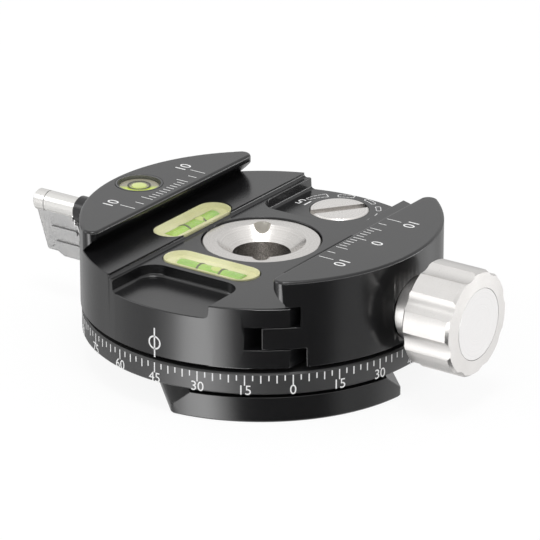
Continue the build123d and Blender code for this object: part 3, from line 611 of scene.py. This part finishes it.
for name, body, side, start, ticks, numbers_out, numbers in (
    (
        "fixed_jaw_scale",
        "head",
        -1,
        FIXED_SCALE_START,
        FIXED_TICKS,
        FIXED_NUMBERS_OUT,
        ((-10.3, "10"), (10.3, "10")),
    ),
    (
        "sliding_jaw_scale",
        "jaw",
        1,
        SLIDING_SCALE_START,
        SLIDING_TICKS,
        SLIDING_NUMBERS_OUT,
        ((-10.3, "10"), (-0.1, "0"), (10.1, "10")),
    ),
):
    jaw_scale = bmesh.new()
    for y, length in ticks:
        add_tick_on_top(jaw_scale, start, start + side * length, y, JAW_TOP, TICK_WIDTH)
    for y, words in numbers:
        spot = Matrix.Translation((numbers_out, y, JAW_TOP))
        place = spot @ Matrix.Rotation(-side * pi / 2, 4, "Z")
        add_words(jaw_scale, words, TOP_NUMBER_HEIGHT, place)
    add_piece(name, jaw_scale, WHITE_MARK, body)

# Marks round the click dial: two dashes and four boxes, drawn in outline. Each box has the
# angles of its two ends, the reach of its inner line at both and the reach of its outer line
DIAL_STROKE = 0.15
DIAL_ARC_STEP = 6
DIAL_DASH_REACH = 6.7
DIAL_DASHES = ((-9.6, -3.4), (8.7, 17.3))
DIAL_BOXES = (
    (28.5, 45.0, 6.35, 6.25, 7.1),
    (58.0, 80.5, 6.1, 6.15, 6.9),
    (100.5, 125.5, 5.95, 5.9, 6.95),
    (141.0, 172.5, 6.15, 6.9, 7.6),
)
DIAL_NUMBER_PLACE = (-6.85, 22.6, RECESS_FLOOR)


def dial_point(angle, reach):
    """A place on the scoop's floor, by an angle in degrees and a reach from the dial's middle."""
    turn = radians(angle)
    return Vector((DIAL_PLACE[0] + reach * cos(turn), DIAL_PLACE[1] + reach * sin(turn), 0))


def add_stroke(work, start, end):
    """A thin straight stroke on the scoop's floor."""
    run = end - start
    middle = Matrix.Translation((start + end) / 2 + Vector((0, 0, RECESS_FLOOR + MARK_LIFT)))
    turn = run.to_track_quat("X", "Z").to_matrix().to_4x4()
    add_block(work, (run.length + DIAL_STROKE, DIAL_STROKE, MARK_DEPTH), middle @ turn)


def add_arc(work, first, last, reach_first, reach_last):
    """Strokes along an arc round the dial, whose reach may change on the way."""
    steps = max(1, round((last - first) / DIAL_ARC_STEP))
    points = []
    for step in range(steps + 1):
        share = step / steps
        reach = reach_first + (reach_last - reach_first) * share
        points.append(dial_point(first + (last - first) * share, reach))
    for start, end in zip(points, points[1:]):
        add_stroke(work, start, end)


dial_marks = bmesh.new()
for first, last in DIAL_DASHES:
    add_arc(dial_marks, first, last, DIAL_DASH_REACH, DIAL_DASH_REACH)
for first, last, inner_first, inner_last, outer in DIAL_BOXES:
    add_arc(dial_marks, first, last, inner_first, inner_last)
    add_arc(dial_marks, first, last, outer, outer)
    add_stroke(dial_marks, dial_point(first, inner_first), dial_point(first, outer))
    add_stroke(dial_marks, dial_point(last, inner_last), dial_point(last, outer))
place = Matrix.Translation(DIAL_NUMBER_PLACE) @ Matrix.Rotation(pi, 4, "Z")
add_words(dial_marks, "15", TOP_NUMBER_HEIGHT, place)
add_piece("dial_marks", dial_marks, WHITE_MARK, "head")


# Cores, lines and bubbles inside the levels
TUBE_STEPS = 48
SLAB_END_FLAT = 0.01


def add_tube(work, radius, thickness, length, matrix):
    """A short thin tube along Z, put in place by a matrix."""
    section = (
        (radius, -length / 2),
        (radius + thickness, -length / 2),
        (radius + thickness, length / 2),
        (radius, length / 2),
    )
    corners = [work.verts.new((r, 0, z)) for r, z in section]
    sides = [work.edges.new((corners[i], corners[(i + 1) % 4])) for i in range(4)]
    bmesh.ops.spin(
        work,
        geom=corners + sides,
        cent=(0, 0, 0),
        axis=(0, 0, 1),
        angle=tau,
        steps=TUBE_STEPS,
        use_merge=True,
    )
    points = [point for point in work.verts if not point.tag]
    bmesh.ops.transform(work, matrix=matrix, verts=points)
    for point in points:
        point.tag = True


def add_drop(work, half_length, radius, matrix):
    """A long drop with round ends along Z, put in place by a matrix."""
    made = bmesh.ops.create_uvsphere(work, u_segments=32, v_segments=16, radius=1.0)
    bmesh.ops.scale(work, vec=(radius, radius, half_length), verts=made["verts"])
    bmesh.ops.transform(work, matrix=matrix, verts=made["verts"])


def add_slab(work, length, width, height, matrix):
    """A slab with round ends along X, put in place by a matrix."""
    made = bmesh.ops.create_cube(work, size=1.0)
    bmesh.ops.scale(work, vec=(length, width, height), verts=made["verts"])
    upright = [
        edge
        for edge in work.edges
        if abs(edge.verts[0].co.z - edge.verts[1].co.z) > height / 2
    ]
    bmesh.ops.bevel(
        work,
        geom=upright,
        offset=width / 2 - SLAB_END_FLAT,
        affect="EDGES",
        segments=12,
        profile=0.5,
        material=-1,
    )
    bmesh.ops.transform(work, matrix=matrix, verts=work.verts)


BLOCK_LENGTH = 18.2
BLOCK_WIDTH = 6.2
BLOCK_DEPTH = 5.0
CORE_MARGIN = 0.12
CORE_DROP = 0.15
RIM_WIDTH = 0.12
RIM_SLOPE = 0.3
RIM_HEIGHT = 0.75
LINE_PLACE = 2.2
LINE_THICKNESS = 0.08
LINE_WIDTH = 0.36
BUBBLE_RADIUS = 1.15
BUBBLE_PARTS = (("_bubble_edge", 0.2, 0.8, BUBBLE_EDGE), ("_bubble", 0.0, 0.95, VIAL_BUBBLE))
for name, place, turn, core_turn, bubble_place, bubble_half in (
    ("level_along", ALONG_PLACE, Matrix.Rotation(-pi / 2, 4, "X"), pi / 2, 1.9, 1.55),
    ("level_across", ACROSS_PLACE, Matrix.Rotation(pi / 2, 4, "Y"), 0.0, 1.15, 1.95),
):
    shift = Matrix.Translation(place)
    core = bmesh.new()
    core_length, core_width = BLOCK_LENGTH - 2 * CORE_MARGIN, BLOCK_WIDTH - 2 * CORE_MARGIN
    core_height = BLOCK_DEPTH - CORE_DROP - CORE_MARGIN
    lower = TUBE_DROP - CORE_DROP - core_height / 2
    core_place = shift @ Matrix.Translation((0, 0, lower)) @ Matrix.Rotation(core_turn, 4, "Z")
    add_slab(core, core_length, core_width, core_height, core_place)
    core_top = [max(core.faces, key=lambda face: face.calc_center_median().z)]
    bmesh.ops.inset_individual(core, faces=core_top, thickness=RIM_WIDTH, depth=0.0)
    bmesh.ops.inset_individual(core, faces=core_top, thickness=RIM_SLOPE, depth=-RIM_HEIGHT)
    add_piece(name + "_core", core, VIAL_CORE, "head")
    lines = bmesh.new()
    for side in (-LINE_PLACE, LINE_PLACE):
        line_place = shift @ turn @ Matrix.Translation((0, 0, side))
        add_tube(lines, TUBE_RADIUS, LINE_THICKNESS, LINE_WIDTH, line_place)
    add_piece(name + "_lines", lines, BLACK_MARK, "head")
    for part, grown, lift, finish in BUBBLE_PARTS:
        drop = bmesh.new()
        run = Matrix.Translation((0, 0, bubble_place))
        drop_place = Matrix.Translation((0, 0, lift)) @ shift @ turn @ run
        add_drop(drop, bubble_half + grown, BUBBLE_RADIUS + grown / 2, drop_place)
        add_piece(name + part, drop, finish, "head")

# Liquid, bubble and rings of the round level
LIQUID_RADIUS = 3.35
LIQUID_LOW, LIQUID_HIGH = 22.05, 23.95
ROUND_BUBBLE_PLACE = (ROUND_PLACE[0] - 0.1, 0.15, 23.98)
ROUND_BUBBLE_HALF_HEIGHT = 0.22
ROUND_BUBBLE_RADIUS = 1.3
ROUND_RINGS = ((1.75, 0.24), (3.4, 0.16))
ROUND_RING_HEIGHT = 0.06
ROUND_RING_PLACE = (*ROUND_PLACE, 24.1)

round_liquid = bmesh.new()
bmesh.ops.create_cone(
    round_liquid,
    cap_ends=True,
    segments=64,
    radius1=LIQUID_RADIUS,
    radius2=LIQUID_RADIUS,
    depth=LIQUID_HIGH - LIQUID_LOW,
    matrix=Matrix.Translation((*ROUND_PLACE, (LIQUID_LOW + LIQUID_HIGH) / 2)),
)
add_piece("round_level_liquid", round_liquid, ROUND_LIQUID, "head")
round_bubble = bmesh.new()
drop_place = Matrix.Translation(ROUND_BUBBLE_PLACE)
add_drop(round_bubble, ROUND_BUBBLE_HALF_HEIGHT, ROUND_BUBBLE_RADIUS, drop_place)
add_piece("round_level_bubble", round_bubble, VIAL_BUBBLE, "head")
round_ring = bmesh.new()
for radius, thickness in ROUND_RINGS:
    ring_place = Matrix.Translation(ROUND_RING_PLACE)
    add_tube(round_ring, radius, thickness, ROUND_RING_HEIGHT, ring_place)
add_piece("round_level_ring", round_ring, BLACK_MARK, "head")

# Thread in the spindle's lower bore
THREAD_PITCH = 1.5875
THREAD_TURNS = 5
THREAD_STEPS = 48
THREAD_START = 1.5
THREAD_ROOT = 4.76
THREAD_CREST = 3.98
ROOT_HALF, CREST_HALF = 0.7, 0.12
thread = bmesh.new()
profile = (
    (THREAD_ROOT, -ROOT_HALF),
    (THREAD_CREST, -CREST_HALF),
    (THREAD_CREST, CREST_HALF),
    (THREAD_ROOT, ROOT_HALF),
)
corners = [thread.verts.new((r, 0, THREAD_START + z)) for r, z in profile]
sides = [thread.edges.new((corners[i], corners[i + 1])) for i in range(3)]
bmesh.ops.spin(
    thread,
    geom=corners + sides,
    cent=(0, 0, 0),
    axis=(0, 0, 1),
    dvec=(0, 0, THREAD_PITCH / THREAD_STEPS),
    angle=tau * THREAD_TURNS,
    steps=THREAD_STEPS * THREAD_TURNS,
)
add_piece("tripod_thread", thread, STEEL, "base")

# Floor: a plain matt floor with the clamp's shadow, mostly plain white to the camera, and
# nothing to be seen from below. Its reach is in metres
FLOOR_REACH = 3.0
FLOOR_TONE = 0.9
FLOOR_WHITE_SHARE = 0.9
FLOOR_DROP = 0.02
floor_mesh = bpy.data.meshes.new("floor")
floor_work = bmesh.new()
bmesh.ops.create_grid(floor_work, x_segments=1, y_segments=1, size=FLOOR_REACH)
floor_work.to_mesh(floor_mesh)
floor_work.free()
floor = bpy.data.objects.new("floor", floor_mesh)
bpy.context.scene.collection.objects.link(floor)
floor_finish = bpy.data.materials.new("pale_floor")
floor_finish.use_nodes = True
floor_tree = floor_finish.node_tree
floor_tree.nodes.clear()
floor_out = node_of(floor_tree, "ShaderNodeOutputMaterial")
floor_mix = node_of(floor_tree, "ShaderNodeMixShader")
floor_matt = node_of(floor_tree, "ShaderNodeBsdfDiffuse")
floor_glow = node_of(floor_tree, "ShaderNodeEmission")
floor_matt.inputs["Color"].default_value = (FLOOR_TONE, FLOOR_TONE, FLOOR_TONE, 1)
floor_glow.inputs["Strength"].default_value = 1.0
floor_ray = node_of(floor_tree, "ShaderNodeLightPath")
floor_share = node_of(floor_tree, "ShaderNodeMath", operation="MULTIPLY")
floor_share.inputs[1].default_value = FLOOR_WHITE_SHARE
floor_tree.links.new(floor_ray.outputs["Is Camera Ray"], floor_share.inputs[0])
floor_tree.links.new(floor_share.outputs[0], floor_mix.inputs[0])
floor_tree.links.new(floor_matt.outputs[0], floor_mix.inputs[1])
floor_tree.links.new(floor_glow.outputs[0], floor_mix.inputs[2])
floor_side = node_of(floor_tree, "ShaderNodeNewGeometry")
floor_below = node_of(floor_tree, "ShaderNodeBsdfTransparent")
floor_both = node_of(floor_tree, "ShaderNodeMixShader")
floor_tree.links.new(floor_side.outputs["Backfacing"], floor_both.inputs[0])
floor_tree.links.new(floor_mix.outputs[0], floor_both.inputs[1])
floor_tree.links.new(floor_below.outputs[0], floor_both.inputs[2])
floor_tree.links.new(floor_both.outputs[0], floor_out.inputs["Surface"])
floor_mesh.materials.append(floor_finish)
floor.location.z = -FLOOR_DROP * MM
floor.visible_glossy = False

# Studio: a white room that gloss sees as panels round the clamp, with a dark gap in front,
# plain walls above them, a ceiling and a bright strip on the horizon. Panels are pairs of an
# angle round the clamp and a strength, and fades say at which height one part ends in the next
ROOM_LIGHT = 0.88
PANEL_PEAK = 7.5
WALL_LEVEL = 0.92
CEILING_LEVEL = 1.15
WALL_FADE = (0.02, 0.2)
CEILING_FADE = (0.68, 0.85)
STRIP_FADES = ((-0.06, 0.0), (0.12, 0.06))
PANELS = (
    (-180, 0.65),
    (-165, 1.05),
    (-148, 0.9),
    (-128, 0.85),
    (-115, 1.7),
    (-102, 6.4),
    (-90, 7.4),
    (-79, 3.4),
    (-71, 0.05),
    (-14, 0.05),
    (-2, 0.7),
    (15, 0.65),
    (40, 1.3),
    (72, 1.25),
    (95, 0.5),
    (120, 0.6),
    (150, 0.65),
    (180, 0.65),
)
STRIP_PANELS = ((-180, 0.0), (-72, 0.0), (-60, 6.0), (56, 6.0), (68, 0.0), (180, 0.0))
world = bpy.data.worlds.new("studio")
bpy.context.scene.world = world
world.use_nodes = True
sky = world.node_tree
sky.nodes.clear()
sky_out = node_of(sky, "ShaderNodeOutputWorld")
sky_way = node_of(sky, "ShaderNodeTexCoord")
sky_split = node_of(sky, "ShaderNodeSeparateXYZ")
sky_turn = node_of(sky, "ShaderNodeMath", operation="ARCTAN2")
sky.links.new(sky_way.outputs["Generated"], sky_split.inputs[0])
sky.links.new(sky_split.outputs["Y"], sky_turn.inputs[0])
sky.links.new(sky_split.outputs["X"], sky_turn.inputs[1])
sky_round = range_of(sky, sky_turn.outputs[0], 0.0, 1.0, -pi, pi)


def panels_of(tree, panels):
    """The strength of the panels round the clamp. A stop's colour is set once all are there."""
    colours = node_of(tree, "ShaderNodeValToRGB")
    ramp = colours.color_ramp
    ramp.interpolation = "EASE"
    for angle, _ in panels[1:-1]:
        ramp.elements.new((angle + 180) / 360)
    for stop, (_, strength) in zip(ramp.elements, panels):
        tone = strength / PANEL_PEAK
        stop.color = (tone, tone, tone, 1)
    tree.links.new(sky_round, colours.inputs[0])
    whole = node_of(tree, "ShaderNodeMath", operation="MULTIPLY")
    whole.inputs[1].default_value = PANEL_PEAK
    tree.links.new(colours.outputs["Color"], whole.inputs[0])
    return whole.outputs[0]


def blend_of(tree, share, first, second):
    """A value between a first one and a second, which is a plain number."""
    blend = node_of(tree, "ShaderNodeMix", data_type="FLOAT")
    tree.links.new(share, blend.inputs["Factor"])
    tree.links.new(first, blend.inputs[NUMBER_FIRST])
    blend.inputs[NUMBER_SECOND].default_value = second
    return blend.outputs[NUMBER_RESULT]


sky_level = panels_of(sky, PANELS)
for fade, strength in ((WALL_FADE, WALL_LEVEL), (CEILING_FADE, CEILING_LEVEL)):
    sky_rise = range_of(sky, sky_split.outputs["Z"], 0.0, 1.0, *fade)
    sky_level = blend_of(sky, sky_rise, sky_level, strength)
sky_strip = panels_of(sky, STRIP_PANELS)
for fade in STRIP_FADES:
    strip_edge = node_of(sky, "ShaderNodeMath", operation="MULTIPLY")
    sky.links.new(sky_strip, strip_edge.inputs[0])
    sky.links.new(range_of(sky, sky_split.outputs["Z"], 0.0, 1.0, *fade), strip_edge.inputs[1])
    sky_strip = strip_edge.outputs[0]
sky_sum = node_of(sky, "ShaderNodeMath", operation="ADD")
sky.links.new(sky_level, sky_sum.inputs[0])
sky.links.new(sky_strip, sky_sum.inputs[1])
sky_ray = node_of(sky, "ShaderNodeLightPath")
sky_gloss = node_of(sky, "ShaderNodeBackground")
sky_room = node_of(sky, "ShaderNodeBackground")
sky_white = node_of(sky, "ShaderNodeBackground")
for part in (sky_gloss, sky_room, sky_white):
    part.inputs["Color"].default_value = (1, 1, 1, 1)
sky_room.inputs["Strength"].default_value = ROOM_LIGHT
sky.links.new(sky_sum.outputs[0], sky_gloss.inputs["Strength"])
sky_first = node_of(sky, "ShaderNodeMixShader")
sky_second = node_of(sky, "ShaderNodeMixShader")
sky.links.new(sky_ray.outputs["Is Glossy Ray"], sky_first.inputs[0])
sky.links.new(sky_room.outputs[0], sky_first.inputs[1])
sky.links.new(sky_gloss.outputs[0], sky_first.inputs[2])
sky.links.new(sky_ray.outputs["Is Camera Ray"], sky_second.inputs[0])
sky.links.new(sky_first.outputs[0], sky_second.inputs[1])
sky.links.new(sky_white.outputs[0], sky_second.inputs[2])
sky.links.new(sky_second.outputs[0], sky_out.inputs["Surface"])


def add_soft_box(name, place, target, size, power):
    """A square lamp at a place, looking at a target, in metres."""
    lamp = bpy.data.lights.new(name, "AREA")
    lamp.shape = "RECTANGLE"
    lamp.size, lamp.size_y = size
    lamp.energy = power
    holder = bpy.data.objects.new(name, lamp)
    bpy.context.scene.collection.objects.link(holder)
    holder.location = place
    holder.rotation_mode = "QUATERNION"
    holder.rotation_quaternion = (Vector(target) - Vector(place)).to_track_quat("-Z", "Y")


for name, place, target, size, power in (
    ("top_soft_box", (0.1, -0.12, 0.65), (0, 0, 0.02), (0.22, 0.22), 1.3),
    ("left_soft_box", (-0.5, -0.35, 0.35), (0, 0, 0.015), (0.3, 0.3), 0.8),
):
    add_soft_box(name, place, target, size, power)

# Camera: the angle it looks from, the point it looks at and its distance from it, in metres
CAMERA_AZIMUTH = radians(34.784)
CAMERA_ELEVATION = radians(22.115)
CAMERA_TARGET = (0.003805, -0.003054, 0.016379)
CAMERA_DISTANCE = 0.6891
CAMERA_LENS = 278.1
CAMERA_SENSOR = 36.0
NEAREST_SEEN = 0.05
FARTHEST_SEEN = 20.0
heading = Vector((-sin(CAMERA_AZIMUTH), cos(CAMERA_AZIMUTH), 0))
forward = heading * cos(CAMERA_ELEVATION) - Vector((0, 0, sin(CAMERA_ELEVATION)))
camera_data = bpy.data.cameras.new("camera")
camera_data.lens = CAMERA_LENS
camera_data.sensor_width = CAMERA_SENSOR
camera_data.clip_start = NEAREST_SEEN
camera_data.clip_end = FARTHEST_SEEN
camera = bpy.data.objects.new("camera", camera_data)
bpy.context.scene.collection.objects.link(camera)
camera.location = Vector(CAMERA_TARGET) - forward * CAMERA_DISTANCE
camera.rotation_mode = "QUATERNION"
camera.rotation_quaternion = forward.to_track_quat("-Z", "Y")
bpy.context.scene.camera = camera

bpy.context.scene.view_settings.view_transform = "Standard"
